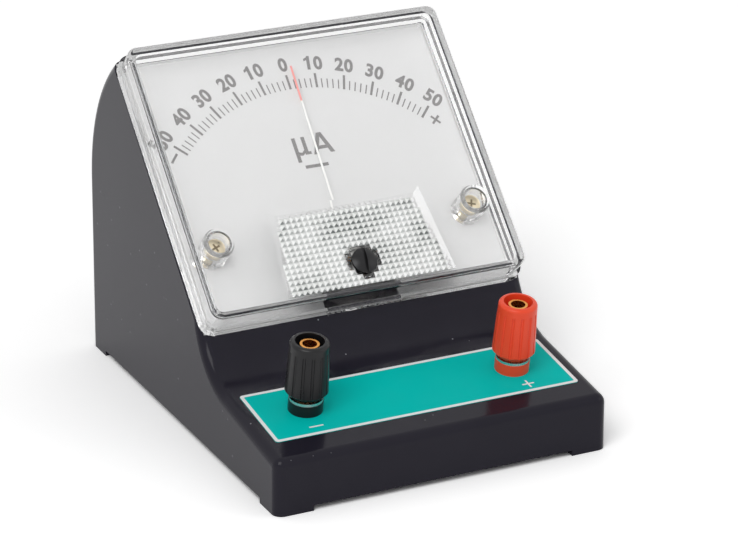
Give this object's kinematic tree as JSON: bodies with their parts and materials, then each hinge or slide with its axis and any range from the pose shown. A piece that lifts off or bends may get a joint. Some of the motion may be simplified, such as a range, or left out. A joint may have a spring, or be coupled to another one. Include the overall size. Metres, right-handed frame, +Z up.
{
  "type": "moving-coil galvanometer",
  "caption": "Sloping-dial student galvanometer with a centre-zero microampere scale, clear cover, prismatic window and screw terminals with plug sockets.",
  "frame": {"origin": "middle of the footprint, on the standing surface", "axes": "+X right seen from the front, +Y to the back, +Z up; the dial faces -Y and up"},
  "size_m": [0.1, 0.13, 0.099],
  "materials": {
    "black_abs": "black moulded ABS, satin gloss, fine dust and scuffs",
    "clear_acrylic": "clear moulded polystyrene or acrylic, polished",
    "dial_paint": "pale grey matt paint on aluminium sheet, printed scale",
    "label_green": "green printed plate with a white edge",
    "black_plastic": "black moulded plastic, satin",
    "red_plastic": "orange-red moulded plastic, satin",
    "brass": "turned brass, slightly dulled",
    "nickel": "nickel-plated, bright",
    "zinc_steel": "zinc-plated steel, passivated cream tint",
    "aluminium": "aluminium, satin",
    "needle_paint": "white painted aluminium with a red tip",
    "copper": "enamelled copper wire",
    "iron": "soft iron, dull",
    "magnet": "sintered magnet, dark",
    "fibre": "vulcanised fibre"
  },
  "bodies": {
    "case": {"housing": "black_abs", "base_cover": "black_abs", "base_screws": "zinc_steel", "label_plate": "label_green", "meter_cover": "clear_acrylic", "cover_screws": "zinc_steel", "dial_plate": "dial_paint", "rear_hairspring": "brass", "front_bridge": "brass", "rear_bridge": "brass", "bridge_posts": "brass", "bridge_screws": "zinc_steel", "front_jewel_screw": "brass", "rear_jewel_screw": "brass", "movement_frame": "aluminium", "movement_screws": "zinc_steel", "movement_lugs": "nickel", "yoke_ring": "iron", "core_magnet": "magnet", "stop_pins": "brass", "black_stud": "brass", "black_collar": "black_plastic", "black_terminal_washer": "nickel", "black_inner_washer": "fibre", "black_solder_tag": "nickel", "black_nut": "nickel", "black_lead_wire": "black_plastic", "red_stud": "brass", "red_collar": "red_plastic", "red_terminal_washer": "nickel", "red_inner_washer": "fibre", "red_solder_tag": "nickel", "red_nut": "nickel", "red_lead_wire": "red_plastic"},
    "moving_coil": {"coil_former": "aluminium", "coil_winding": "copper", "front_pivot": "zinc_steel", "rear_pivot": "zinc_steel", "pointer": "needle_paint", "balance_weights": "brass"},
    "adjuster_knob": {"zero_adjuster": "black_plastic"},
    "lever": {"zero_lever": "brass", "front_hairspring": "brass"},
    "black_thread": {"black_cap_insert": "brass"},
    "black_knob": {"black_cap": "black_plastic"},
    "red_thread": {"red_cap_insert": "brass"},
    "red_knob": {"red_cap": "red_plastic"}
  },
  "joints": [
    {"name": "pointer_swing", "type": "hinge", "parent": "case", "child": "moving_coil", "pos_m": [0, -0.00484, 0.04544], "axis": [0, 0.7071, -0.7071], "range_deg": [-50.6, 47.4], "stiffness_Nm_per_rad": 0.000005},
    {"name": "adjuster_turn", "type": "hinge", "parent": "case", "child": "adjuster_knob", "pos_m": [0, -0.01562, 0.04668], "axis": [0, 0.7071, -0.7071], "range_deg": [-40, 40]},
    {"name": "lever_swing", "type": "hinge", "parent": "case", "child": "lever", "pos_m": [0, -0.00731, 0.04792], "axis": [0, 0.7071, -0.7071], "range_deg": [-6, 6]},
    {"name": "black_cap_lift", "type": "slide", "parent": "case", "child": "black_thread", "axis": [0, -0.1461, 0.9893], "range_m": [-0.00055, 0.005]},
    {"name": "black_cap_turn", "type": "hinge", "parent": "black_thread", "child": "black_knob", "pos_m": [-0.0314, -0.04529, 0.03104], "axis": [0, -0.1461, 0.9893], "range_deg": [-248, 2251]},
    {"name": "red_cap_lift", "type": "slide", "parent": "case", "child": "red_thread", "axis": [0, -0.1461, 0.9893], "range_m": [-0.00055, 0.005]},
    {"name": "red_cap_turn", "type": "hinge", "parent": "red_thread", "child": "red_knob", "pos_m": [0.0314, -0.04529, 0.03104], "axis": [0, -0.1461, 0.9893], "range_deg": [-248, 2251]}
  ],
  "couplings": [
    {"joint": "lever_swing", "follows": "adjuster_turn", "ratio": -0.146},
    {"joint": "black_cap_turn", "follows": "black_cap_lift", "rad_per_m": 7854},
    {"joint": "red_cap_turn", "follows": "red_cap_lift", "rad_per_m": 7854}
  ]
}
